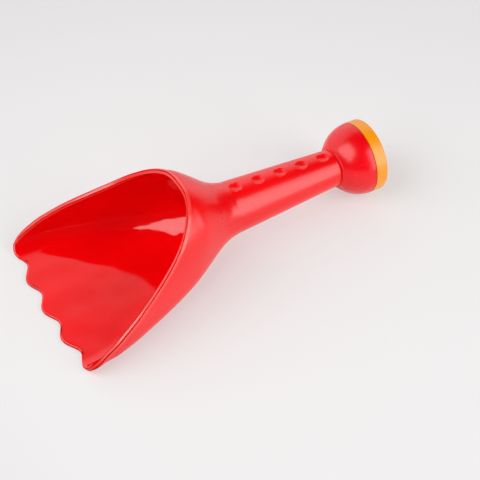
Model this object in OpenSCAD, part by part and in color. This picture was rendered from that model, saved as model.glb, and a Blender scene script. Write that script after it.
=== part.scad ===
// Toddler's rain shovel: a wide scoop with a scalloped front edge, drawn out
// into a hollow round handle that ends in a watering rose.
// Sand scooped up stays in the bowl, water runs through the handle and out of
// the sprinkler cap. X runs along the shovel towards the cap, Z is up, and the
// floor of the scoop lies on Z = 0 with the origin under the middle.

/* [Overall] */
// Length over all, from the middle front tooth to the face of the cap
part_length = 265; // [245:1:290]
// Widest span of the scoop, over the beads of the rim
scoop_width = 134.6; // [124:0.2:146]
// Height of the rim at its heel, where the scoop turns into the neck
rim_height = 72.4; // [68:0.2:78]
// Distance from the front edge to the heel of the rim
heel_at = 107; // [101:0.5:113]
// Distance from the front edge to where the plain handle starts
neck_at = 147; // [143:0.5:151]
// Wall thickness of the three mouldings
wall = 2.4; // [2:0.1:2.8]

/* [Front edge] */
// Distance between the tips of two neighbouring teeth
tooth_pitch = 29.9; // [27:0.1:32]
// How far the notches between the teeth are cut back
tooth_depth = 5.5; // [3:0.1:7]
// How far the row of teeth bows back at the corners
front_bow = 4.6; // [3:0.1:7]

/* [Rim] */
// How far the bead of the rim stands out from the wall
bead_out = 1.3; // [0.6:0.1:2]
// Height of the bead, measured down the wall
lip_height = 2.8; // [2:0.1:4]
// Rounding of the front edge, measured back from the edge
edge_round = 1.6; // [1:0.1:2.2]

/* [Handle] */
// Diameter of the handle at the neck
neck_d = 38.8; // [34:0.2:41]
// Diameter of the handle where it meets the bulb
handle_d = 27.8; // [24:0.1:31]
// Slope of the handle down towards the bulb, in degrees
handle_slope = 0.8; // [0:0.1:1.4]
// Distance from the front edge to the first dimple
dimple_at = 152.7; // [152.6:0.1:156]
// Number of thumb dimples along the top of the handle
dimple_count = 5; // [3:1:5]
// Distance between two dimples
dimple_pitch = 18.1; // [16:0.1:18.6]
// Diameter of one thumb dimple
dimple_d = 9.6; // [7:0.1:9.8]
// Depth of one thumb dimple
dimple_depth = 1.7; // [0.8:0.1:2]

/* [Rose] */
// Diameter of the bulb and of the cap
bulb_d = 54.6; // [50:0.2:59]
// How far the middle of the bulb's ball lies beyond the seam, inside the cap
ball_shift = 1.5; // [0:0.1:3]
// Thickness of the cap that shows outside the bulb
cap_t = 9.6; // [8:0.1:12]
// Rounding of the outer edge of the cap
cap_round = 1.2; // [0.6:0.1:2]
// Thickness of the bead round the bulb where the handle goes in
collar_d = 1; // [0.6:0.1:2]
// Length of the handle spigot inside the bulb
spigot_length = 7; // [5:0.1:9]
// Length of the cap skirt inside the bulb
skirt_length = 6.5; // [5:0.1:7.5]
// Diameter of one spray hole
hole_d = 2.2; // [1.4:0.1:3]
// Distance between the rings of spray holes
ring_pitch = 8.4; // [7:0.1:9]

/* [Fits] */
// Radial clearance of the handle spigot in the bulb
spigot_clearance = 0.1; // [0.05:0.01:0.2]
// Radial clearance of the cap skirt in the bulb
skirt_clearance = 0.12; // [0.05:0.01:0.2]
// Height of the snap ridge on the cap skirt
snap_height = 0.4; // [0.2:0.05:0.6]

/* [Hidden] */

red = [0.9, 0.02, 0.03];
orange = [0.98, 0.6, 0.13];

// Facets of round parts, and of the small dimples, holes and beads
$fn = 80;
dimple_fn = 32;
hole_fn = 24;
bead_fn = 12;
// A hair of overlap where one solid is sunk into another or cut right through
sink = 0.8;
tiny = 0.000001;
// How far the walls of the round handle stand proud of the neck let into them
joint_step = 0.05;

// Rows of the scoop from the front edge to the heel and on to the neck
front_rows = 5;
scoop_rows = 24;
neck_rows = 12;
// Columns from the middle of the floor up to the rim, those below the waist,
// and points of one section
side_columns = 23;
low_columns = 12;
section_points = 64;

// The handle, the bulb and the cap share one axis, which slopes down to the cap
seam_at = part_length - cap_t;
bulb_r = bulb_d / 2;
bulb_z = bulb_r * cos(handle_slope) + cap_t * sin(handle_slope);
crease_at = seam_at + ball_shift - sqrt(bulb_r * bulb_r - handle_d * handle_d / 4);
spigot_r = handle_d / 2 - wall / 2;
function axis_z(x) = bulb_z + (seam_at - x) * tan(handle_slope);
function handle_r(x) =
    (neck_d + (handle_d - neck_d) * (x - neck_at) / (crease_at - neck_at)) / 2;

// The middle of the whole length lies on X = 0
middle_x = (part_length + bulb_r * sin(handle_slope)) / 2;

// Stations: 0 is the front edge, 1 the heel of the rim, flare_end the handle
flare_end = 1.374;
function station(x) =
    x < heel_at ? x / heel_at
    : 1 + (flare_end - 1) * (x - heel_at) / (neck_at - heel_at);

// Height of the rim over the table, as shares of its height at the heel
rim_shares = [
    [-0.1, -0.08], [0, 0], [0.037, 0.048], [0.075, 0.097], [0.112, 0.141],
    [0.15, 0.18], [0.187, 0.219], [0.234, 0.262], [0.28, 0.303],
    [0.374, 0.38], [0.467, 0.454], [0.561, 0.526], [0.654, 0.601],
    [0.748, 0.684], [0.841, 0.785], [0.916, 0.88], [0.972, 0.96], [1, 1],
    [1.056, 1.083], [1.374, 1.5]
];
// How much wider than the handle the scoop is, as shares of the most
width_shares = [
    [0, 0.962], [0.075, 0.99], [0.15, 1], [0.234, 0.997], [0.327, 0.955],
    [0.411, 0.907], [0.514, 0.832], [0.607, 0.761], [0.692, 0.692],
    [0.794, 0.604], [0.888, 0.518], [0.944, 0.463], [1, 0.398],
    [1.056, 0.322], [1.121, 0.23], [1.187, 0.142], [1.252, 0.07],
    [1.318, 0.021], [1.374, 0]
];
// How much higher than the handle the walls would close, as shares of the most
crown_shares = [
    [0, 0.191], [0.28, 0.28], [0.421, 0.33], [0.561, 0.46], [0.701, 0.69],
    [0.794, 0.86], [0.86, 0.95], [0.916, 1], [0.963, 1.01], [1, 1],
    [1.056, 0.905], [1.121, 0.705], [1.187, 0.455], [1.252, 0.225],
    [1.318, 0.085], [1.374, 0]
];
// Height at which the walls are widest, over the axis of the handle, as shares
// of the rim height
waist_shares = [
    [0, -0.26], [0.28, -0.237], [0.561, -0.193], [0.748, -0.149],
    [0.888, -0.105], [1, -0.057], [1.103, -0.027], [1.215, -0.009],
    [1.374, 0]
];
// Height of the underside, as shares of the height under the handle
keel_shares = [
    [0, 0], [0.841, 0], [0.907, 0.009], [0.963, 0.045], [1, 0.098],
    [1.056, 0.229], [1.121, 0.443], [1.187, 0.679], [1.252, 0.867],
    [1.318, 0.978], [1.374, 1]
];
// Breadth of the rounded lower corner, as shares of the half width
corner_shares = [
    [0, 0.24], [0.25, 0.25], [0.56, 0.37], [0.8, 0.54], [0.9, 0.7],
    [1, 0.88], [1.075, 1], [1.374, 1]
];
// Exponents of the lower corners and of the upper walls, 2 being an ellipse
low_powers = [
    [0, 2.5], [0.56, 2.4], [1, 2.4], [1.056, 2.4], [1.168, 2.2], [1.3, 2],
    [1.374, 2]
];
high_powers = [
    [0, 3.6], [0.42, 3.5], [0.56, 3.2], [0.7, 3], [0.84, 2.8], [0.916, 2.6],
    [1, 2.5], [1.056, 2.65], [1.168, 2.5], [1.318, 2], [1.374, 2]
];

// Smooth curve through the points of a table, without overshoot
function chord(t, i) = (t[i + 1][1] - t[i][1]) / (t[i + 1][0] - t[i][0]);
function slope(t, i) =
    i == 0 ? chord(t, 0)
    : i == len(t) - 1 ? chord(t, i - 1)
    : chord(t, i - 1) * chord(t, i) <= 0 ? 0
    : 2 * chord(t, i - 1) * chord(t, i) / (chord(t, i - 1) + chord(t, i));
function segment(t, v, i = 0) =
    i >= len(t) - 2 || v < t[i + 1][0] ? i : segment(t, v, i + 1);
function curve(t, v) =
    let (
        w = min(max(v, t[0][0]), t[len(t) - 1][0]),
        i = segment(t, w),
        h = t[i + 1][0] - t[i][0],
        s = (w - t[i][0]) / h
    )
    t[i][1] * (1 + 2 * s) * (1 - s) * (1 - s)
    + t[i + 1][1] * s * s * (3 - 2 * s)
    + h * slope(t, i) * s * (1 - s) * (1 - s)
    - h * slope(t, i + 1) * s * s * (1 - s);

// Sizes of the section at x, of the outer skin (w = 0) or of the inner one
half_w = scoop_width / 2 - bead_out;
widest_share = 0.15;
widest_at = widest_share * heel_at;
function breadth(x, w) =
    handle_r(x) + (half_w - handle_r(widest_at))
        * curve(width_shares, station(x)) - w;
function crown(x, w) =
    axis_z(x) + handle_r(x)
    + (rim_height - axis_z(heel_at) - handle_r(heel_at))
        * curve(crown_shares, station(x)) - w;
function waist(x) = axis_z(x) + rim_height * curve(waist_shares, station(x));
function keel(x, w) =
    (axis_z(x) - handle_r(x)) * curve(keel_shares, station(x)) + w;
function flat(x) = breadth(x, 0) * (1 - curve(corner_shares, station(x)));

// The lip of the rim grows out of the rounded front edge, and runs out along
// that edge just past the corners
lip_shares = [0.03, 0.115];
turn_shares = [0.92, 1];
lip_lean_share = 1.2;
function smooth(v, shares) =
    let (s = min(max((v - shares[0]) / (shares[1] - shares[0]), 0), 1))
    s * s * (3 - 2 * s);
function lip(x) = smooth(x / heel_at, lip_shares);
function rim_z(x) = rim_height * curve(rim_shares, station(x))
    - lip_lean_share * (edge_round + (lip_height - edge_round) * lip(x));

// Angle of the section at which the rim cuts the skin, 90 being closed, as it
// always is from one station behind the heel
shut_station = 1.15;
function rim_angle(x, w) =
    let (h = rim_z(x), m = waist(x), t = crown(x, w), k = keel(x, w))
    h >= t || station(x) > shut_station ? 90
    : h >= m ? asin(pow((h - m) / (t - m), curve(high_powers, station(x)) / 2))
    : -asin(pow((m - h) / (m - k), curve(low_powers, station(x)) / 2));
// Where the rim closes over the neck, found by halving
function heel(w, a, b, n = 30) =
    n == 0 ? (a + b) / 2
    : let (c = (a + b) / 2)
        rim_z(c) < crown(c, w) ? heel(w, c, b, n - 1) : heel(w, a, c, n - 1);

// One section from the middle of the floor up to the given angle, as [y, z]
function section(x, a1, w) =
    let (
        b = breadth(x, w), k = keel(x, w), t = crown(x, w), m = waist(x),
        f = min(flat(x), b), nb = curve(low_powers, station(x)),
        nt = curve(high_powers, station(x)),
        low = [
            for (i = [0 : section_points])
                let (a = -90 + (min(a1, 0) + 90) * i / section_points)
                [f + (b - f) * pow(max(cos(a), 0), 2 / nb),
                    m - (m - k) * pow(abs(sin(a)), 2 / nb)]
        ],
        high = a1 <= 0 ? [] : [
            for (i = [1 : section_points])
                let (a = a1 * i / section_points)
                [b * pow(max(cos(a), 0), 2 / nt),
                    m + (t - m) * pow(sin(a), 2 / nt)]
        ]
    )
    concat(f > 0 ? [[0, k]] : [], low, high);
// Running length along a line of points, and the piece of it that holds s
function lengths(p) =
    [for (i = 0, s = 0; i < len(p); i = i + 1,
        s = i < len(p) ? s + norm(p[i] - p[i - 1]) : s) s];
function piece(u, s, a, b) =
    b - a <= 1 ? a
    : let (c = floor((a + b) / 2)) s < u[c] ? piece(u, s, a, c) : piece(u, s, c, b);
// Steps along a section: even near the front edge, and further back the same
// number below and above the waist, so that the lower walls run on smoothly
even_shares = [0.22, 0.52];
function evenness(x) = smooth(x / heel_at, even_shares);
function step_u(j, q, all, low) =
    (1 - q) * all * j / side_columns
    + q * (j <= low_columns ? low * j / low_columns
        : low + (all - low) * (j - low_columns) / (side_columns - low_columns));
// The point at step j along a section, as [x, y, z]
function skin_at(x, a1, w, j) =
    let (
        p = section(x, a1, w), u = lengths(p), n = len(p) - 1,
        low = u[a1 <= 0 ? n : n - section_points],
        s = step_u(j, evenness(x), u[n], low),
        k = piece(u, s, 0, n),
        t = (s - u[k]) / max(u[k + 1] - u[k], tiny),
        q = p[k] + t * (p[k + 1] - p[k])
    )
    [x, q[0], q[1]];

// The front edge in plan: a row of round teeth on a bow, u along the section
lobe_share = 0.075;
lobe_at = lobe_share * heel_at;
corner_u = lengths(section(lobe_at, rim_angle(lobe_at, 0), 0));
span_u = corner_u[len(corner_u) - 1];
function edge_x(u) =
    edge_round + front_bow * (u / span_u) * (u / span_u)
    + tooth_depth * (1 - cos(360 * u / tooth_pitch)) / 2;
corner_x = edge_x(span_u);
front_share = 0.17;
front_end = front_share * heel_at;

// All rows of one skin on the far side, from the front edge to the neck. The
// rows close up towards the heel at the rim, but not along the floor.
closing = 2.3;
heel_shares = [0.8, 1.2];
lean_share = 0.2;
neck_end = neck_at + sink;
function rows(w) =
    let (
        h = heel(w, heel_shares[0] * heel_at, heel_shares[1] * heel_at),
        g = h + lean_share * (neck_end - h), m = side_columns,
        bend = [for (j = [0 : m]) 1 - (j / m) * (j / m)]
    )
    concat(
        [for (i = [0 : front_rows - 1])
            let (s = i / front_rows, r = corner_x + s * (front_end - corner_x),
                a = rim_angle(r, w))
            [for (j = [0 : m])
                let (e = edge_x(span_u * j / m))
                skin_at(e + s * (front_end - e), a, w, j)]],
        [for (i = [0 : scoop_rows])
            let (s = i / scoop_rows,
                r = h - (h - front_end) * pow(1 - s, closing),
                f = front_end + s * (g - front_end),
                a = i == scoop_rows ? 90 : rim_angle(r, w))
            [for (j = [0 : m]) skin_at(r + (f - r) * bend[j], a, w, j)]],
        [for (i = [1 : neck_rows])
            [for (j = [0 : m])
                let (e = h + (g - h) * bend[j])
                skin_at(e + (neck_end - e) * i / neck_rows, 90, w, j)]]
    );
heel_row = front_rows + scoop_rows;
row_count = heel_row + neck_rows + 1;
open_n = 2 * side_columns + 1;
shut_n = 2 * side_columns;
function mirror_y(p) = [p[0], -p[1], p[2]];
// Points of a skin, both sides; the two sides share one point per closed row
function skin_points(r) = [
    for (i = [0 : row_count - 1])
        for (j = [-side_columns : side_columns - (i < heel_row ? 0 : 1)])
            j < 0 ? mirror_y(r[i][-j]) : r[i][j]
];
skin_n = heel_row * open_n + (row_count - heel_row) * shut_n;
function at(i, j) =
    i < heel_row ? i * open_n + j + side_columns
    : heel_row * open_n + (i - heel_row) * shut_n
        + (j + side_columns) % shut_n;

// The edge of a skin: from the heel down one rim, round the teeth and back
edge_list = concat(
    [[heel_row, -side_columns]],
    [for (i = [heel_row - 1 : -1 : 0]) [i, side_columns]],
    [for (j = [side_columns - 1 : -1 : -side_columns]) [0, j]],
    [for (i = [1 : heel_row - 1]) [i, -side_columns]]
);
edge_n = len(edge_list);
// Way out of the skin across its edge: up the wall and forward along it on the
// rim, forward on the front edge
function forward(x, w) =
    let (
        a = rim_angle(x, w), y = x + sink,
        nt = curve(high_powers, station(x))
    )
    a <= 0 ? [0, 0, 0]
    : unit([
        x - y,
        (breadth(x, w) - breadth(y, w)) * pow(max(cos(a), 0), 2 / nt),
        waist(x) - waist(y) + (crown(x, w) - waist(x) - crown(y, w) + waist(y))
            * pow(sin(a), 2 / nt)
    ]);
function outward(p, i, j) =
    let (
        k = at(i, j), side = abs(j) == side_columns,
        f = side ? forward(p[k][0], 0) : [0, 0, 0]
    )
    [f[0], f[1] * sign(j), f[2]]
    + (side && i < heel_row ? unit(p[k] - p[at(i, j - sign(j))]) : [0, 0, 0])
    + (i == 0 ? unit(p[k] - p[at(1, j)]) : [0, 0, 0]);
function unit(v) = v / norm(v);
function across(v, t) = unit(v - (v * t) * t);
// Section of the finished edge, as shares of the wall and of its own height
bead_shares = [
    [-bead_out / wall, 0.08], [-bead_out / wall, 0.72],
    [-0.72 * bead_out / wall, 0.93], [-0.35 * bead_out / wall, 1],
    [0.78, 1], [0.94, 0.93], [1, 0.78]
];
round_shares = [
    [0, 0.2], [0.03, 0.5], [0.13, 0.78], [0.32, 0.97], [0.66, 0.97],
    [0.86, 0.78], [0.97, 0.5]
];
ring_n = len(bead_shares);
function edge_rings(p, q) =
    let (frames = [
        for (n = [0 : edge_n - 1])
            let (
                e = edge_list[n], k = at(e[0], e[1]),
                a = edge_list[(n + 1) % edge_n],
                b = edge_list[(n + edge_n - 1) % edge_n],
                t = unit(p[at(a[0], a[1])] - p[at(b[0], b[1])]),
                g = across(outward(p, e[0], e[1]), t),
                v = q[k] - p[k],
                m = across(v - (v * g) * g, t)
            )
            [p[k], g, m, lip(p[k][0])
                * (e[0] == 0 ? smooth(abs(e[1]) / side_columns, turn_shares) : 1)]
    ])
    [for (k = [0 : ring_n - 1])
        for (f = frames)
            let (
                s = round_shares[k] + f[3] * (bead_shares[k] - round_shares[k]),
                h = edge_round + f[3] * (lip_height - edge_round)
            )
            f[0] + f[1] * (s[1] * h) + f[2] * (s[0] * wall)];

// Two triangles over four points, split along the flatter diagonal
function fold(a, b, c, d) =
    unit(cross(b - a, c - a)) * unit(cross(c - a, d - a));
function quad(p, f) =
    fold(p[f[0]], p[f[1]], p[f[2]], p[f[3]])
        >= fold(p[f[1]], p[f[2]], p[f[3]], p[f[0]])
    ? [[f[0], f[1], f[2]], [f[0], f[2], f[3]]]
    : [[f[0], f[1], f[3]], [f[1], f[2], f[3]]];
function scoop_faces(p) =
    let (
        skin = [
            for (i = [0 : row_count - 2])
                for (j = [-side_columns : side_columns - 1])
                    [at(i, j), at(i + 1, j), at(i + 1, j + 1), at(i, j + 1)]
        ],
        rim = [
            for (k = [-1 : ring_n - 1])
                for (n = [0 : edge_n - 1])
                    let (
                        m = (n + 1) % edge_n,
                        e = edge_list[n], f = edge_list[m],
                        a = k < 0 ? at(e[0], e[1]) : 2 * skin_n + k * edge_n + n,
                        b = k < 0 ? at(f[0], f[1]) : 2 * skin_n + k * edge_n + m,
                        c = k == ring_n - 1 ? skin_n + at(f[0], f[1])
                            : 2 * skin_n + (k + 1) * edge_n + m,
                        d = k == ring_n - 1 ? skin_n + at(e[0], e[1])
                            : 2 * skin_n + (k + 1) * edge_n + n
                    )
                    [d, c, b, a]
        ],
        last = row_count - 1,
        end = [
            for (j = [-side_columns : side_columns - 1])
                [at(last, j), skin_n + at(last, j), skin_n + at(last, j + 1),
                    at(last, j + 1)]
        ]
    )
    concat(
        [for (f = skin) each quad(p, f)],
        [for (f = skin)
            each quad(p, [skin_n + f[3], skin_n + f[2], skin_n + f[1],
                skin_n + f[0]])],
        [for (f = rim) each quad(p, f)],
        [for (f = end) each quad(p, f)]
    );

module scoop() {
    p = skin_points(rows(0));
    q = skin_points(rows(wall));
    all = concat(p, q, edge_rings(p, q));
    polyhedron(all, scoop_faces(all));
}

// Places its children on the sloping axis, with the seam at the origin and Z
// pointing out through the cap
module on_axis() {
    translate([seam_at, 0, bulb_z])
        rotate([0, 90 + handle_slope, 0])
            children();
}

// Hollow handle with its thumb dimples and the spigot for the bulb
neck_from = (neck_at - seam_at) / cos(handle_slope);
crease_from = crease_at - seam_at;
dimple_r = (dimple_d * dimple_d / 4 + dimple_depth * dimple_depth)
    / (2 * dimple_depth);
module handle() {
    difference() {
        on_axis()
            rotate_extrude()
                polygon([
                    [neck_d / 2 - wall - joint_step, neck_from],
                    [neck_d / 2 + joint_step, neck_from],
                    [handle_d / 2, crease_from],
                    [spigot_r, crease_from],
                    [spigot_r, crease_from + spigot_length],
                    [handle_d / 2 - wall, crease_from + spigot_length],
                    [handle_d / 2 - wall, crease_from]
                ]);
        for (i = [0 : dimple_count - 1])
            let (x = dimple_at + i * dimple_pitch)
            translate([x, 0, axis_z(x) + handle_r(x) - dimple_depth + dimple_r])
                sphere(r = dimple_r, $fn = dimple_fn);
    }
}

// Red scoop and handle, one moulding
module shovel_body() {
    color(red)
        translate([-middle_x, 0, 0])
            union() {
                scoop();
                handle();
            }
}

// Red bulb of the rose: nearly half a hollow ball with a thin bead round the
// handle
socket_r = spigot_r + spigot_clearance;
mouth_r = bulb_r - wall;
collar_r = collar_d / 2;
collar_z = crease_from + collar_d;
collar_out = sqrt(bulb_r * bulb_r - (ball_shift - collar_z) * (ball_shift - collar_z));
snap_share = 0.55;
snap_at = -snap_share * skirt_length;
module rose_bulb() {
    color(red)
        translate([-middle_x, 0, 0])
            on_axis()
                difference() {
                    union() {
                        difference() {
                            translate([0, 0, ball_shift])
                                difference() {
                                    sphere(r = bulb_r);
                                    sphere(r = mouth_r);
                                }
                            cylinder(h = bulb_r + ball_shift + sink,
                                r = bulb_r + sink);
                        }
                        translate([0, 0, crease_from])
                            cylinder(h = spigot_length, r = socket_r + wall / 2);
                        rotate_extrude()
                            translate([collar_out, collar_z])
                                circle(r = collar_r, $fn = bead_fn);
                    }
                    translate([0, 0, -bulb_r - sink])
                        cylinder(h = bulb_r + sink + crease_from, r = bulb_r);
                    translate([0, 0, crease_from - sink])
                        cylinder(h = spigot_length + 2 * sink, r = socket_r);
                    translate([0, 0, -skirt_length - sink])
                        cylinder(h = skirt_length + 2 * sink, r = mouth_r);
                    rotate_extrude()
                        polygon([
                            [mouth_r - sink, snap_at - 2 * snap_height],
                            [mouth_r, snap_at - 2 * snap_height],
                            [mouth_r + snap_height, snap_at - snap_height / 2],
                            [mouth_r + snap_height, snap_at + snap_height / 2],
                            [mouth_r, snap_at + 2 * snap_height],
                            [mouth_r - sink, snap_at + 2 * snap_height]
                        ]);
                }
}

// Orange sprinkler cap, pressed into the bulb: skirt with a snap ridge, face
// with rings of spray holes
skirt_r = mouth_r - skirt_clearance;
ring_holes = [1, 6, 12];
module sprinkler_cap() {
    color(orange)
        translate([-middle_x, 0, 0])
            on_axis()
                difference() {
                    rotate_extrude()
                        polygon(concat(
                            [
                                [0, cap_t - wall],
                                [skirt_r - wall, cap_t - wall],
                                [skirt_r - wall, -skirt_length],
                                [skirt_r - skirt_clearance, -skirt_length],
                                [skirt_r, snap_at - 2 * snap_height],
                                [skirt_r + snap_height,
                                    snap_at - snap_height / 2],
                                [skirt_r + snap_height,
                                    snap_at + snap_height / 2],
                                [skirt_r, snap_at + 2 * snap_height],
                                [skirt_r, 0],
                                [bulb_r, 0]
                            ],
                            [for (a = [0 : 15 : 90])
                                [bulb_r - cap_round * (1 - cos(a)),
                                    cap_t - cap_round * (1 - sin(a))]],
                            [[0, cap_t]]
                        ));
                    for (k = [0 : len(ring_holes) - 1])
                        for (n = [0 : ring_holes[k] - 1])
                            rotate([0, 0, 360 * n / ring_holes[k]])
                                translate([k * ring_pitch, 0, cap_t - wall - sink])
                                    cylinder(h = wall + 2 * sink,
                                        r = hole_d / 2, $fn = hole_fn);
                }
}

shovel_body();
rose_bulb();
sprinkler_cap();
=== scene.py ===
from math import cos, pi, radians, sin, sqrt, tan

import bmesh
import bpy
import numpy as np
from mathutils import Matrix, Vector


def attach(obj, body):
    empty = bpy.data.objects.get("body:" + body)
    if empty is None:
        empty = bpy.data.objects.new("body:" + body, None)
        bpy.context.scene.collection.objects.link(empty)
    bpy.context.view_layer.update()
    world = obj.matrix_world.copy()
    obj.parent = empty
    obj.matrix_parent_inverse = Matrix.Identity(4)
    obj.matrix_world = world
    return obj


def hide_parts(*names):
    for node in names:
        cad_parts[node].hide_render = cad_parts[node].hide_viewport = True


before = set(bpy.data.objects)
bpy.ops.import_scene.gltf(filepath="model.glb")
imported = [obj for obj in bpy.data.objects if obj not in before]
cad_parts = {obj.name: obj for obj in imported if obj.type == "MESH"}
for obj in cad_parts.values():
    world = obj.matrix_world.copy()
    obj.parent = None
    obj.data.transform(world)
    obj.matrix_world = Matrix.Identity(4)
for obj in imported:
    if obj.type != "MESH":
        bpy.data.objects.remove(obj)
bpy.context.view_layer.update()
bpy.context.scene.view_settings.view_transform = "Standard"


# Camera
# It looks down on the near side of the scoop from a little less than a metre.
film_width, lens = 36, 94.83
azimuth = radians(-30.29)
elevation = radians(47.303)
roll = radians(0.668)
distance = 0.9
aim = Vector((0.013485, -0.017523, 0.012404))

back = Vector((
    sin(azimuth) * cos(elevation), -cos(azimuth) * cos(elevation), sin(elevation)
))
level = Vector((cos(azimuth), sin(azimuth), 0))
across = cos(roll) * level + sin(roll) * back.cross(level)
upward = back.cross(across)

camera = bpy.data.objects.new("camera", bpy.data.cameras.new("camera"))
camera.data.sensor_width, camera.data.lens = film_width, lens
camera.matrix_world = Matrix.Translation(aim + distance * back) @ Matrix(
    (across, upward, back)
).transposed().to_4x4()
bpy.context.scene.collection.objects.link(camera)
bpy.context.scene.camera = camera


# Scoop and handle
# One shot of injection-moulded polypropylene: the scoop's walls lean in over
# the neck and close into the hollow handle. Its inside is polished, its
# outside has the finer grain of the mould, and a bead stiffens the rim.
part_length = 0.265
scoop_width = 0.1346
rim_height = 0.0724
heel_at = 0.107
neck_at = 0.147
wall = 0.0024
tooth_pitch = 0.0299
tooth_depth = 0.0055
front_bow = 0.0046
bead_out = 0.0013
lip_height = 0.0028
edge_round = 0.0016
neck_d = 0.0388
handle_d = 0.0278
handle_slope = radians(0.8)
bulb_r = 0.0273
ball_shift = 0.0015
cap_t = 0.0096
spigot_length = 0.007

seam_at = part_length - cap_t
bulb_z = bulb_r * cos(handle_slope) + cap_t * sin(handle_slope)
crease_at = seam_at + ball_shift - sqrt(bulb_r ** 2 - handle_d ** 2 / 4)
middle_x = (part_length + bulb_r * sin(handle_slope)) / 2
spigot_r = handle_d / 2 - wall / 2

# Tables of shares over the stations of the skin: 0 is the front edge, 1 the heel
# of the rim and flare_end the start of the handle. From shut_station on, the
# rim cuts nothing off.
flare_end = 1.374
shut_station = 1.15
rim_shares = [
    (-0.1, -0.08), (0, 0), (0.037, 0.048), (0.075, 0.097), (0.112, 0.141),
    (0.15, 0.18), (0.187, 0.219), (0.234, 0.262), (0.28, 0.303),
    (0.374, 0.38), (0.467, 0.454), (0.561, 0.526), (0.654, 0.601),
    (0.748, 0.684), (0.841, 0.785), (0.916, 0.88), (0.972, 0.96), (1, 1),
    (1.056, 1.083), (1.374, 1.5),
]
width_shares = [
    (0, 0.962), (0.075, 0.99), (0.15, 1), (0.234, 0.997), (0.327, 0.955),
    (0.411, 0.907), (0.514, 0.832), (0.607, 0.761), (0.692, 0.692),
    (0.794, 0.604), (0.888, 0.518), (0.944, 0.463), (1, 0.398),
    (1.056, 0.322), (1.121, 0.23), (1.187, 0.142), (1.252, 0.07),
    (1.318, 0.021), (1.374, 0),
]
crown_shares = [
    (0, 0.191), (0.28, 0.28), (0.421, 0.33), (0.561, 0.46), (0.701, 0.69),
    (0.794, 0.86), (0.86, 0.95), (0.916, 1), (0.963, 1.01), (1, 1),
    (1.056, 0.905), (1.121, 0.705), (1.187, 0.455), (1.252, 0.225),
    (1.318, 0.085), (1.374, 0),
]
waist_shares = [
    (0, -0.26), (0.28, -0.237), (0.561, -0.193), (0.748, -0.149),
    (0.888, -0.105), (1, -0.057), (1.103, -0.027), (1.215, -0.009), (1.374, 0),
]
keel_shares = [
    (0, 0), (0.841, 0), (0.907, 0.009), (0.963, 0.045), (1, 0.098),
    (1.056, 0.229), (1.121, 0.443), (1.187, 0.679), (1.252, 0.867),
    (1.318, 0.978), (1.374, 1),
]
corner_shares = [
    (0, 0.24), (0.25, 0.25), (0.56, 0.37), (0.8, 0.54), (0.9, 0.7),
    (1, 0.88), (1.075, 1), (1.374, 1),
]
low_powers = [
    (0, 2.5), (0.56, 2.4), (1, 2.4), (1.056, 2.4), (1.168, 2.2), (1.3, 2),
    (1.374, 2),
]
high_powers = [
    (0, 3.6), (0.42, 3.5), (0.56, 3.2), (0.7, 3), (0.84, 2.8), (0.916, 2.6),
    (1, 2.5), (1.056, 2.65), (1.168, 2.5), (1.318, 2), (1.374, 2),
]


def curve(shares, v):
    """Smooth curve through the points of a table, without overshoot."""
    t, y = np.array(shares, float).T
    chord = np.diff(y) / np.diff(t)
    both = chord[:-1] * chord[1:]
    total = np.where(both > 0, chord[:-1] + chord[1:], 1)
    slope = np.concatenate((
        chord[:1], np.where(both > 0, 2 * both / total, 0), chord[-1:]
    ))
    v = np.clip(v, t[0], t[-1])
    i = np.clip(np.searchsorted(t, v, side="right") - 1, 0, len(t) - 2)
    h = t[i + 1] - t[i]
    s = (v - t[i]) / h
    return (
        y[i] * (1 + 2 * s) * (1 - s) ** 2 + y[i + 1] * s * s * (3 - 2 * s)
        + h * slope[i] * s * (1 - s) ** 2 - h * slope[i + 1] * s * s * (1 - s)
    )


def station(x):
    """Station of a place along the length."""
    behind = 1 + (flare_end - 1) * (x - heel_at) / (neck_at - heel_at)
    return np.where(x < heel_at, x / heel_at, behind)


def smooth_step(v, start, end):
    s = np.clip((v - start) / (end - start), 0, 1)
    return s * s * (3 - 2 * s)


def axis_z(x):
    return bulb_z + (seam_at - x) * tan(handle_slope)


def handle_r(x):
    along = (x - neck_at) / (crease_at - neck_at)
    return (neck_d + (handle_d - neck_d) * along) / 2


widest_share = 0.15
widest_at = widest_share * heel_at
most_width = scoop_width / 2 - bead_out - handle_r(widest_at)
most_crown = rim_height - axis_z(heel_at) - handle_r(heel_at)


def breadth(x, w):
    return handle_r(x) + most_width * curve(width_shares, station(x)) - w


def crown(x, w):
    return axis_z(x) + handle_r(x) + most_crown * curve(crown_shares, station(x)) - w


def waist(x):
    return axis_z(x) + rim_height * curve(waist_shares, station(x))


def keel(x, w):
    return (axis_z(x) - handle_r(x)) * curve(keel_shares, station(x)) + w


lip_shares, turn_shares, lip_lean_share = (0.03, 0.115), (0.92, 1), 1.2


def lip(x):
    """How far the rim's bead has grown out of the rounded front edge."""
    return smooth_step(x / heel_at, *lip_shares)


def rim_z(x):
    """Height of the skin under the rim's bead."""
    lean = lip_lean_share * (edge_round + (lip_height - edge_round) * lip(x))
    return rim_height * curve(rim_shares, station(x)) - lean


def rim_angle(x, w):
    """Angle of the section at which the rim cuts the skin, a right one shut."""
    h, m, t, k = rim_z(x), waist(x), crown(x, w), keel(x, w)
    above = np.clip((h - m) / (t - m), 0, 1) ** (curve(high_powers, station(x)) / 2)
    below = np.clip((m - h) / (m - k), 0, 1) ** (curve(low_powers, station(x)) / 2)
    angle = np.where(h >= m, np.arcsin(above), -np.arcsin(below))
    return np.where((h >= t) | (station(x) > shut_station), pi / 2, angle)


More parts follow.
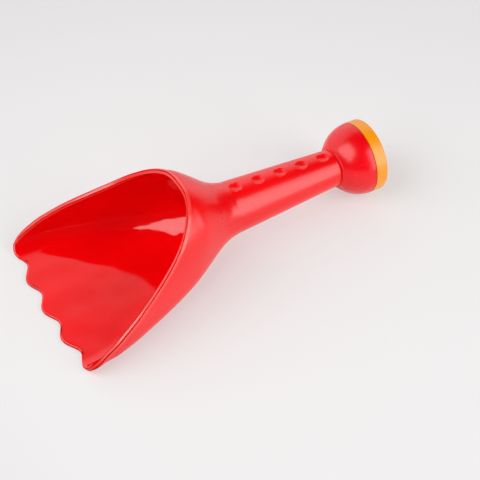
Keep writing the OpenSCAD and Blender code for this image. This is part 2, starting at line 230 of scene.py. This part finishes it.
def section(x, angle, w, points=64):
    """Lines from the middle of the floor up to the angle, one for each x."""
    x, angle = x[:, None], angle[:, None]
    b, k, t, m = breadth(x, w), keel(x, w), crown(x, w), waist(x)
    f = np.minimum(breadth(x, 0) * (1 - curve(corner_shares, station(x))), b)
    nb, nt = curve(low_powers, station(x)), curve(high_powers, station(x))
    share = np.linspace(0, 1, points + 1)
    a = -pi / 2 + (np.minimum(angle, 0) + pi / 2) * share
    low_y = f + (b - f) * np.clip(np.cos(a), 0, 1) ** (2 / nb)
    low_z = m - (m - k) * np.abs(np.sin(a)) ** (2 / nb)
    a = np.maximum(angle, 0) * share[1:]
    shut = np.where(angle > 0, 1, 0)
    high_y = b * np.clip(np.cos(a), 0, 1) ** (2 / nt)
    high_z = m + (t - m) * np.sin(a) ** (2 / nt)
    high_y = shut * high_y + (1 - shut) * low_y[:, -1:]
    high_z = shut * high_z + (1 - shut) * low_z[:, -1:]
    y = np.concatenate((0 * k, low_y, high_y), 1)
    z = np.concatenate((k, low_z, high_z), 1)
    run = np.hypot(np.diff(y, axis=1), np.diff(z, axis=1)).cumsum(1)
    return y, z, np.concatenate((0 * k, run), 1), points + 1


even_shares, low_columns_share = (0.22, 0.52), 12 / 23


def skin_at(x, angle, w, share):
    """Points on the skin, at a share of the way from the floor up to the rim."""
    y, z, run, waist_at = section(x, angle, w)
    low, length = run[:, waist_at], run[:, -1]
    even = smooth_step(x / heel_at, *even_shares)
    kept = np.where(
        share <= low_columns_share, low * share / low_columns_share,
        low + (length - low) * (share - low_columns_share) / (1 - low_columns_share),
    )
    s = (1 - even) * length * share + even * kept
    i = np.clip((run <= s[:, None]).sum(1) - 1, 0, run.shape[1] - 2)
    row = np.arange(len(x))
    step = np.maximum(run[row, i + 1] - run[row, i], 1e-9)
    t = (s - run[row, i]) / step
    return np.stack((
        x,
        y[row, i] + t * (y[row, i + 1] - y[row, i]),
        z[row, i] + t * (z[row, i + 1] - z[row, i]),
    ), 1)


# Columns from the middle of the floor up to the rim, rows along the length, and
# how strongly both close up
side_columns = 72
front_rows, scoop_rows, neck_rows = 10, 84, 30
outer_handle_rows, inner_handle_rows = 250, 8
heel_row = front_rows + scoop_rows
top_power, heel_power = 1.5, 2.3
lobe_share, front_share, bend_share, crowd_share = 0.075, 0.17, 0.2, 0.3
heel_shares = (0.8, 1.2)
columns = np.arange(side_columns + 1) / side_columns
top_columns = 1 - (1 - columns) ** top_power
lobe = np.array([lobe_share * heel_at])
span = section(lobe, rim_angle(lobe, 0), 0)[2][0, -1]
tooth_x = (
    edge_round + front_bow * columns ** 2
    + tooth_depth * (1 - np.cos(2 * pi * span * columns / tooth_pitch)) / 2
)
front_end = front_share * heel_at


def heel(w):
    """Where the rim closes over the neck, found by halving."""
    a, b = heel_shares[0] * heel_at, heel_shares[1] * heel_at
    for _ in range(40):
        c = (a + b) / 2
        a, b = (c, b) if rim_z(c) < crown(c, w) else (a, c)
    return (a + b) / 2


def skin(w, handle_rows):
    """Rows of points of one skin, from the front edge to the end of the handle.

    The rows close up towards the heel at the rim, but not along the floor.
    """
    h = heel(w)
    g = h + bend_share * (neck_at - h)
    bend = 1 - columns ** 2
    rows = []
    for i in range(front_rows):
        s = i / front_rows
        r = tooth_x[-1] + s * (front_end - tooth_x[-1])
        rows.append((tooth_x + s * (front_end - tooth_x), rim_angle(r, w), columns))
    for i in range(scoop_rows + 1):
        s = i / scoop_rows
        r = h - (h - front_end) * (1 - s) ** heel_power
        f = front_end + s * (g - front_end)
        angle = rim_angle(r, w) if s < 1 else pi / 2
        rows.append((r + (f - r) * bend, angle, columns))
    for i in range(1, neck_rows + 1):
        e = h + (g - h) * bend
        closer = smooth_step(i / neck_rows, crowd_share, 1)
        share = columns + closer * (top_columns - columns)
        rows.append((e + (neck_at - e) * i / neck_rows, pi / 2, share))
    for i in range(1, handle_rows + 1):
        x = neck_at + (crease_at - neck_at) * i / handle_rows
        rows.append((np.full(side_columns + 1, x), pi / 2, top_columns))
    half = np.array([
        skin_at(x, np.full(len(x), float(a)), w, share) for x, a, share in rows
    ])
    far = half[:, :0:-1] * (1, -1, 1)
    return np.concatenate((far, half), 1)


dimple_count = 5
dimple_at = 0.1527
dimple_pitch = 0.0181
dimple_d = 0.0096
dimple_depth = 0.0018
dimple_r = (dimple_d ** 2 / 4 + dimple_depth ** 2) / (2 * dimple_depth)


def press_dimples(points):
    """Presses the round thumb dimples into the top of the handle."""
    x, y, z = points[..., 0], points[..., 1], points[..., 2]
    for n in range(dimple_count):
        centre = dimple_at + n * dimple_pitch
        top = axis_z(centre) + handle_r(centre)
        reach = (x - centre) ** 2 + y ** 2
        dent = top - dimple_depth + dimple_r - np.sqrt(
            np.maximum(dimple_r ** 2 - reach, 0)
        )
        inside = (reach < dimple_d ** 2 / 4) & (z > axis_z(centre))
        z[inside] = np.minimum(z, dent)[inside]


def lay_grid(bm, points, material=0):
    """Lays a grid over rows of points, and gives its faces a material."""
    rows, cols = points.shape[:2]
    grid = bmesh.ops.create_grid(
        bm, x_segments=cols - 1, y_segments=rows - 1, size=1
    )["verts"]
    for v in grid:
        j = round((v.co.x + 1) / 2 * (cols - 1))
        i = round((v.co.y + 1) / 2 * (rows - 1))
        v.co = points[i, j]
    for face in {f for v in grid for f in v.link_faces}:
        face.material_index = material


def unit(v):
    return v / np.maximum(np.linalg.norm(v, axis=-1, keepdims=True), 1e-12)


def square_to(v, t):
    return unit(v - (v * t).sum(-1, keepdims=True) * t)


# Points over the edge of the wall, as shares of the wall through it and of the
# edge's height: round the bead of the rim, and over the plain front edge
out_share = -bead_out / wall
bead_shares = np.array([
    (out_share, 0.06), (out_share, 0.3), (out_share, 0.66),
    (0.94 * out_share, 0.82), (0.78 * out_share, 0.93), (0.5 * out_share, 0.99),
    (-0.1, 1), (0.06, 0.995), (0.7, 0.895), (0.84, 0.87), (0.95, 0.81),
    (0.985, 0.72), (0.98, 0.45), (0.975, 0.24), (0.995, 0.12),
])
round_shares = np.array([
    (0, 0.2), (0.01, 0.4), (0.05, 0.6), (0.11, 0.74), (0.18, 0.85), (0.27, 0.93),
    (0.38, 0.985), (0.5, 1), (0.62, 0.985), (0.73, 0.93), (0.82, 0.85),
    (0.89, 0.74), (0.95, 0.6), (0.985, 0.4), (1, 0.2),
])
# First row, last row and finish of each band of the strip over the edge. Finish 2 paints
# thin lines of shade, finish 3 a pink painted highlight, and the last band is the polished
# inside.
rim_bands = ((0, 5, 3), (5, 7, 2), (7, 9, 3), (9, 11, 2), (11, 14, 3), (14, 16, 1))


def forward(x):
    """Way along the skin, at the angle of the rim, towards the front edge."""
    step = 0.0008
    a, y = rim_angle(x, 0), x + step
    nt = curve(high_powers, station(x))
    rise = crown(x, 0) - waist(x) - crown(y, 0) + waist(y)
    way = unit(np.stack((
        x - y,
        (breadth(x, 0) - breadth(y, 0)) * np.clip(np.cos(a), 0, 1) ** (2 / nt),
        waist(x) - waist(y) + rise * np.sin(np.maximum(a, 0)) ** (2 / nt),
    ), -1))
    return np.where((a > 0)[:, None], way, 0)


def rim_strip(p, q):
    """Rows of points over the edge of the wall, from skin p round to skin q."""
    m, last = side_columns, 2 * side_columns
    loop = [(heel_row, 0)]
    loop += [(i, last) for i in range(heel_row - 1, -1, -1)]
    loop += [(0, j) for j in range(last - 1, -1, -1)]
    loop += [(i, 0) for i in range(1, heel_row)]
    i, j = np.array(loop).T
    at, inner = p[i, j], q[i, j]
    side = (j == 0) | (j == last)
    sign = np.where(j < m, -1, 1)[:, None] * (0, 1, 0) + (1, 0, 1)
    way = np.where(side[:, None], forward(at[:, 0]) * sign, 0)
    inward = np.where(j == 0, 1, np.where(j == last, last - 1, j))
    up = (side & (i < heel_row))[:, None]
    way = way + np.where(up, unit(at - p[i, inward]), 0)
    way = way + np.where((i == 0)[:, None], unit(at - p[i + 1, j]), 0)
    tangent = unit(np.roll(at, -1, 0) - np.roll(at, 1, 0))
    out = square_to(way, tangent)
    through = inner - at
    through = through - (through * out).sum(1, keepdims=True) * out
    through = square_to(through, tangent)
    kept = np.where(i == 0, smooth_step(abs(j - m) / m, *turn_shares), 1)
    grown = (lip(at[:, 0]) * kept)[:, None]
    height = edge_round + grown * (lip_height - edge_round)
    rows = [at]
    for bead, plain in zip(bead_shares, round_shares):
        s = plain + grown * (bead - plain)
        rows.append(at + out * s[:, 1:] * height + through * s[:, :1] * wall)
    rows.append(inner)
    rows = np.array(rows)
    return np.concatenate((rows, rows[:, :1]), 1)


def ring(x, r):
    """Points round the handle's axis, in the order of a skin's last row."""
    a = np.concatenate((-top_columns[:0:-1], top_columns)) * pi - pi / 2
    out = np.stack((0 * a, np.cos(a), np.sin(a)), 1)
    return np.array((x, 0, axis_z(x))) + r * out


flow_size, mark_size = 0.03, 0.003
tint_shares, rough_shares = (0.94, 1.04), (0.92, 1.08)


def plastic(name, colour, rough, grain, grain_size, scuff=0.0, gloss=0.5):
    """Moulded plastic: flow marks, handling marks, and a grain of this height and size."""
    material = bpy.data.materials.new(name)
    material.use_nodes = True
    nodes, links = material.node_tree.nodes, material.node_tree.links
    shader = nodes["Principled BSDF"]
    shader.inputs["IOR"].default_value = 1.54
    shader.inputs["Specular IOR Level"].default_value = gloss
    place = nodes.new("ShaderNodeTexCoord").outputs["Object"]

    def noise(size, detail, stretch=(1, 1, 1)):
        mapping = nodes.new("ShaderNodeMapping")
        mapping.inputs["Scale"].default_value = stretch
        links.new(place, mapping.inputs["Vector"])
        texture = nodes.new("ShaderNodeTexNoise")
        texture.inputs["Scale"].default_value = 1 / size
        texture.inputs["Detail"].default_value = detail
        links.new(mapping.outputs["Vector"], texture.inputs["Vector"])
        return texture.outputs["Fac"]

    def spread(value, low, high, start=0.3, end=0.7):
        ranged = nodes.new("ShaderNodeMapRange")
        for socket, number in zip(
            ("From Min", "From Max", "To Min", "To Max"), (start, end, low, high)
        ):
            ranged.inputs[socket].default_value = number
        links.new(value, ranged.inputs["Value"])
        return ranged.outputs["Result"]

    flow = noise(flow_size, 0, (0.5, 1, 1))
    tint = nodes.new("ShaderNodeMix")
    tint.data_type = "RGBA"
    tint.inputs["A"].default_value = (*[tint_shares[0] * c for c in colour], 1)
    tint.inputs["B"].default_value = (*[min(tint_shares[1] * c, 1) for c in colour], 1)
    links.new(spread(flow, 0, 1), tint.inputs["Factor"])
    links.new(tint.outputs["Result"], shader.inputs["Base Color"])

    marks = noise(mark_size, 0, (0.12, 1, 1))
    total = nodes.new("ShaderNodeMath")
    total.operation = "ADD"
    uneven = spread(flow, rough_shares[0] * rough, rough_shares[1] * rough)
    links.new(uneven, total.inputs[0])
    links.new(spread(marks, 0, scuff, 0.5, 0.9), total.inputs[1])
    links.new(total.outputs["Value"], shader.inputs["Roughness"])

    bump = nodes.new("ShaderNodeBump")
    bump.inputs["Strength"].default_value = 1
    bump.inputs["Distance"].default_value = grain
    links.new(noise(grain_size, 0), bump.inputs["Height"])
    links.new(bump.outputs["Normal"], shader.inputs["Normal"])
    return material


weld_gap = 0.000002


def finish_piece(name, bm, materials, crease_angle=38):
    """Makes one piece of a mesh that is closed, smooth and facing outwards."""
    bmesh.ops.remove_doubles(bm, verts=bm.verts, dist=weld_gap)
    bmesh.ops.recalc_face_normals(bm, faces=bm.faces)
    mesh = bpy.data.meshes.new(name)
    bm.to_mesh(mesh)
    bm.free()
    for material in materials:
        mesh.materials.append(material)
    mesh.shade_smooth()
    mesh.set_sharp_from_angle(angle=radians(crease_angle))
    piece = bpy.data.objects.new(name, mesh)
    bpy.context.scene.collection.objects.link(piece)
    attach(piece, "root")
    return piece


red = (0.9, 0.0004, 0.0022)
satin_red = plastic(
    "satin_red", red, rough=0.29, grain=0.00001, grain_size=0.0008, scuff=0.015
)
polished_red = plastic(
    "polished_red", (0.9, 0.0004, 0.002),
    rough=0.07, grain=0.0004, grain_size=0.02, scuff=0.05,
)
# Darker, matt red painted as shade: thin dark lines in the grooves beside the rim's bead
# and along the front edge, and on the bulb's side of its seam with the cap.
groove_shade_red = plastic(
    "groove_shade_red", (0.5, 0.002, 0.003),
    rough=0.6, grain=0.00001, grain_size=0.0006, gloss=0,
)
# Paler, pinker red with a smoother finish. The pink is a painted highlight along the rim's
# bead and the front edge.
rim_highlight_red = plastic(
    "rim_highlight_red", (0.95, 0.05, 0.04), rough=0.16, grain=0.00001, grain_size=0.003
)

outer, inner = skin(0, outer_handle_rows), skin(wall, inner_handle_rows)
press_dimples(outer)
spigot_end = crease_at + spigot_length
end = np.array([
    outer[-1], ring(crease_at, spigot_r), ring(spigot_end, spigot_r),
    ring(spigot_end, handle_d / 2 - wall), inner[-1],
])
body_mesh = bmesh.new()
shift = np.array((middle_x, 0, 0))
lay_grid(body_mesh, outer - shift)
lay_grid(body_mesh, inner - shift, 1)
edge = rim_strip(outer, inner) - shift
# The strip's bands lay the painted shade lines and the painted highlight along the rim and
# the front edge.
for start, stop, material in rim_bands:
    lay_grid(body_mesh, edge[start:stop + 1], material)
lay_grid(body_mesh, end - shift)
body = finish_piece(
    "scoop_and_handle", body_mesh, (satin_red, polished_red, groove_shade_red, rim_highlight_red)
)
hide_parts("shovel_body")


# Bulb
# A bit over half a hollow ball of the same red plastic, pressed over the spigot of the
# handle, with a thin bead round the crease and an open mouth for the cap.
collar_d = 0.001
seam_round = 0.0003
spigot_clearance = 0.0001
round_steps = 128
socket_r = spigot_r + spigot_clearance
mouth_r = bulb_r - wall
skirt_length = 0.0065
crease = crease_at - seam_at
to_axis = (
    Matrix.Translation((seam_at - middle_x, 0, bulb_z))
    @ Matrix.Rotation(pi / 2 + handle_slope, 4, "Y")
)


def arc(centre, radius, start, end, steps):
    """Points of an arc in the plane of a profile, as (radius, height)."""
    return [
        (centre[0] + radius * cos(radians(a)), centre[1] + radius * sin(radians(a)))
        for a in np.linspace(start, end, steps + 1)
    ]


def turn_profile(profile, bm, steps=round_steps, closed=True):
    """Spins a profile round the axis of the rose."""
    verts = [bm.verts.new((r, 0, z)) for r, z in profile]
    pairs = zip(verts, verts[1:] + verts[:1]) if closed else zip(verts, verts[1:])
    edges = [bm.edges.new(pair) for pair in pairs]
    bmesh.ops.spin(
        bm, geom=verts + edges, cent=(0, 0, 0), axis=(0, 0, 1),
        angle=2 * pi, steps=steps, use_merge=True,
    )


def shade_band(bm, low, high, inside):
    """Gives the faces of a narrow turned band the piece's second material, a dark line of
    painted shade along the seam.
    """
    for face in bm.faces:
        middle = face.calc_center_median()
        if low < middle.z < high and middle.xy.length > inside:
            face.material_index = 1


def ball_angle(z, radius=bulb_r):
    return np.degrees(np.arcsin((z - ball_shift) / radius))


collar_z = crease + collar_d
collar_out = sqrt(bulb_r ** 2 - (collar_z - ball_shift) ** 2)
collar_turn = np.degrees(np.arctan2(collar_z - ball_shift, collar_out))
collar_reach, collar_share = 75, 0.55
before = ball_angle(
    collar_z + collar_share * collar_d * sin(radians(90 + collar_turn))
)
hollow_from, hollow_to = -0.0165, -0.007
ball = (0, ball_shift)
bulb_profile = (
    [(bulb_r - seam_round, 0)]
    + arc(ball, bulb_r, ball_angle(-seam_round), before, 56)
    + arc((collar_out, collar_z), collar_d / 2,
          collar_turn + collar_reach, collar_turn - collar_reach, 12)
    + [(handle_d / 2, crease), (socket_r, crease), (socket_r, crease + spigot_length)]
    + [(socket_r + wall / 2, crease + spigot_length)]
    + [(socket_r + wall / 2,
        ball_shift - sqrt(mouth_r ** 2 - (socket_r + wall / 2) ** 2))]
    + arc(ball, mouth_r,
          ball_angle(hollow_from, mouth_r), ball_angle(hollow_to, mouth_r), 24)
    + [(mouth_r, -skirt_length), (mouth_r, 0)]
)
bulb_red = plastic(
    "bulb_red", (0.84, 0.0006, 0.006),
    rough=0.25, grain=0.000004, grain_size=0.0008, scuff=0.02, gloss=0.42,
)
bulb_mesh = bmesh.new()
turn_profile(bulb_profile, bulb_mesh)
# The bulb's chamfer at its seam with the cap is painted dark, as painted shade in the
# seam.
shade_band(bulb_mesh, -seam_round, 0, bulb_r - 2 * seam_round)
bmesh.ops.transform(bulb_mesh, matrix=to_axis, verts=bulb_mesh.verts)
bulb = finish_piece("bulb", bulb_mesh, (bulb_red, groove_shade_red))
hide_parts("rose_bulb")


# Sprinkler cap
# Orange cap of the same plastic, snapped into the bulb's mouth by a ridge on
# its skirt. Its face is bored with rings of spray holes.
cap_round = 0.0012
hole_d = 0.0022
hole_round = 0.0003
hole_steps = 24
ring_pitch = 0.0084
ring_counts = (1, 6, 12)
skirt_clearance = 0.00012
skirt_r = mouth_r - skirt_clearance
snap_height = 0.0004
snap_share = 0.55
snap_at = -snap_share * skirt_length
inside_r = skirt_r - wall
edge_r = bulb_r - cap_round


def circle(bm, radius, height, steps, centre=(0, 0)):
    made = bmesh.ops.create_circle(bm, segments=steps, radius=radius)["verts"]
    bmesh.ops.translate(bm, verts=made, vec=(*centre, height))
    return list({e for v in made for e in v.link_edges})


holes = [
    (k * ring_pitch * cos(2 * pi * n / count), k * ring_pitch * sin(2 * pi * n / count))
    for k, count in enumerate(ring_counts) for n in range(count)
]
cap_mesh = bmesh.new()
for height, radius, flare in ((cap_t, edge_r, 1), (cap_t - wall, inside_r, 0)):
    rims = circle(cap_mesh, radius, height, round_steps)
    for hole in holes:
        rims += circle(cap_mesh, hole_d / 2 + flare * hole_round, height, hole_steps, hole)
    bmesh.ops.triangle_fill(cap_mesh, use_beauty=True, edges=rims)
for hole in holes:
    tube = arc((hole_d / 2 + hole_round, cap_t - hole_round), hole_round, 90, 180, 4)
    bore = bmesh.new()
    turn_profile(tube + [(hole_d / 2, cap_t - wall)], bore, hole_steps, False)
    bmesh.ops.translate(bore, verts=bore.verts, vec=(*hole, 0))
    bored = bpy.data.meshes.new("bore")
    bore.to_mesh(bored)
    bore.free()
    cap_mesh.from_mesh(bored)
    bpy.data.meshes.remove(bored)
cap_profile = (
    arc((edge_r, cap_t - cap_round), cap_round, 90, 0, 8)
    + [(bulb_r, seam_round), (bulb_r - seam_round, 0), (skirt_r, 0)]
    + [(skirt_r, snap_at + 2 * snap_height)]
    + [(skirt_r + snap_height, snap_at + snap_height / 2)]
    + [(skirt_r + snap_height, snap_at - snap_height / 2)]
    + [(skirt_r, snap_at - 2 * snap_height), (skirt_r - skirt_clearance, -skirt_length)]
    + [(inside_r, -skirt_length), (inside_r, cap_t - wall)]
)
turn_profile(cap_profile, cap_mesh, closed=False)
# The cap's chamfer at its seam with the bulb gets the dark brown, as painted shade in the
# seam.
shade_band(cap_mesh, 0, seam_round, bulb_r - 2 * seam_round)
bmesh.ops.transform(cap_mesh, matrix=to_axis, verts=cap_mesh.verts)
cap_orange = plastic(
    "cap_orange", (0.95, 0.325, 0.0),
    rough=0.32, grain=0.00001, grain_size=0.0008, scuff=0.03,
)
# Dark, matt brown painted as shade in the seam between the cap and the bulb.
seam_shade_brown = plastic(
    "seam_shade_brown", (0.5, 0.05, 0.0), rough=0.6, grain=0.00001, grain_size=0.0008, gloss=0
)
cap = finish_piece("sprinkler_cap_piece", cap_mesh, (cap_orange, seam_shade_brown))
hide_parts("sprinkler_cap")


# Floor
# A plain pale sheet that runs out of sight. Half of the white that the camera
# and the glossy skins see of it is even, so that it stays pale to its edges.
floor_reach = 6
paper_white, even_white, even_share = (0.86, 0.845, 0.845, 1), 0.87, 0.5

floor_mesh = bmesh.new()
bmesh.ops.create_grid(floor_mesh, x_segments=1, y_segments=1, size=floor_reach)
floor_data = bpy.data.meshes.new("floor")
floor_mesh.to_mesh(floor_data)
floor_mesh.free()
paper = bpy.data.materials.new("paper")
paper.use_nodes = True
sheet, sheet_links = paper.node_tree.nodes, paper.node_tree.links
matt = sheet["Principled BSDF"]
matt.inputs["Base Color"].default_value = paper_white
matt.inputs["Roughness"].default_value = 0.9
matt.inputs["Specular IOR Level"].default_value = 0
ray = sheet.new("ShaderNodeLightPath")
seen = sheet.new("ShaderNodeMath")
seen.operation = "MAXIMUM"
sheet_links.new(ray.outputs["Is Camera Ray"], seen.inputs[0])
sheet_links.new(ray.outputs["Is Glossy Ray"], seen.inputs[1])
clear = sheet.new("ShaderNodeMath")
clear.operation = "MAXIMUM"
sheet_links.new(seen.outputs["Value"], clear.inputs[0])
sheet_links.new(ray.outputs["Is Transmission Ray"], clear.inputs[1])
share = sheet.new("ShaderNodeMath")
share.operation = "MULTIPLY"
share.inputs[1].default_value = even_share
sheet_links.new(clear.outputs["Value"], share.inputs[0])
glow = sheet.new("ShaderNodeEmission")
glow.inputs["Color"].default_value = (1, 0.985, 0.985, 1)
glow.inputs["Strength"].default_value = even_white
blend = sheet.new("ShaderNodeMixShader")
sheet_links.new(share.outputs["Value"], blend.inputs["Fac"])
sheet_links.new(matt.outputs["BSDF"], blend.inputs[1])
sheet_links.new(glow.outputs["Emission"], blend.inputs[2])
sheet_links.new(blend.outputs["Shader"], sheet["Material Output"].inputs["Surface"])
floor_data.materials.append(paper)
floor = bpy.data.objects.new("floor", floor_data)
bpy.context.scene.collection.objects.link(floor)


# Light
# A dark room with a pale wall on the far side, a large softbox on the left of
# the camera and one on its right.
wall_light, dark_share, ceiling_share = 1.2, 0.03, 0.05
wall_from, wall_full = 0.25, 0.6
ceiling_from, ceiling_full = sin(radians(38)), sin(radians(64))
world = bpy.data.worlds.new("room")
world.use_nodes = True
sky, sky_links = world.node_tree.nodes, world.node_tree.links
direction = sky.new("ShaderNodeSeparateXYZ")
sky_links.new(sky.new("ShaderNodeTexCoord").outputs["Generated"], direction.inputs[0])


def fade(value, start, end, low, high):
    ranged = sky.new("ShaderNodeMapRange")
    ranged.interpolation_type = "SMOOTHSTEP"
    for socket, number in zip(
        ("From Min", "From Max", "To Min", "To Max"), (start, end, low, high)
    ):
        ranged.inputs[socket].default_value = number
    sky_links.new(value, ranged.inputs["Value"])
    return ranged.outputs["Result"]


room = sky.new("ShaderNodeMath")
room.operation = "MULTIPLY"
sky_links.new(
    fade(
        direction.outputs["Y"], wall_from, wall_full,
        dark_share * wall_light, wall_light,
    ),
    room.inputs[0],
)
sky_links.new(
    fade(direction.outputs["Z"], ceiling_from, ceiling_full, 1, ceiling_share),
    room.inputs[1],
)
sky_links.new(room.outputs["Value"], sky["Background"].inputs["Strength"])
sky["Background"].inputs["Color"].default_value = (1, 1, 1, 1)
bpy.context.scene.world = world


def softbox(name, place, lean, size, radiance):
    """A lamp that stands upright but for its lean, and faces the object."""
    lamp = bpy.data.lights.new(name, "AREA")
    lamp.shape = "RECTANGLE"
    lamp.size, lamp.size_y = size
    lamp.energy = radiance * pi * size[0] * size[1]
    box = bpy.data.objects.new(name, lamp)
    box.location = place
    heading = Vector((place[0], place[1], 0)).to_track_quat("Z", "Y")
    box.rotation_euler = heading.to_euler()
    box.rotation_euler.rotate_axis("X", -radians(lean))
    bpy.context.scene.collection.objects.link(box)


softbox(
    "left_softbox", place=(-0.33, 0, 0.58), lean=7, size=(0.6, 0.62), radiance=3.9
)
softbox(
    "right_softbox", place=(0.59, -0.84, 0.74), lean=0, size=(0.8, 1.46), radiance=3.8
)
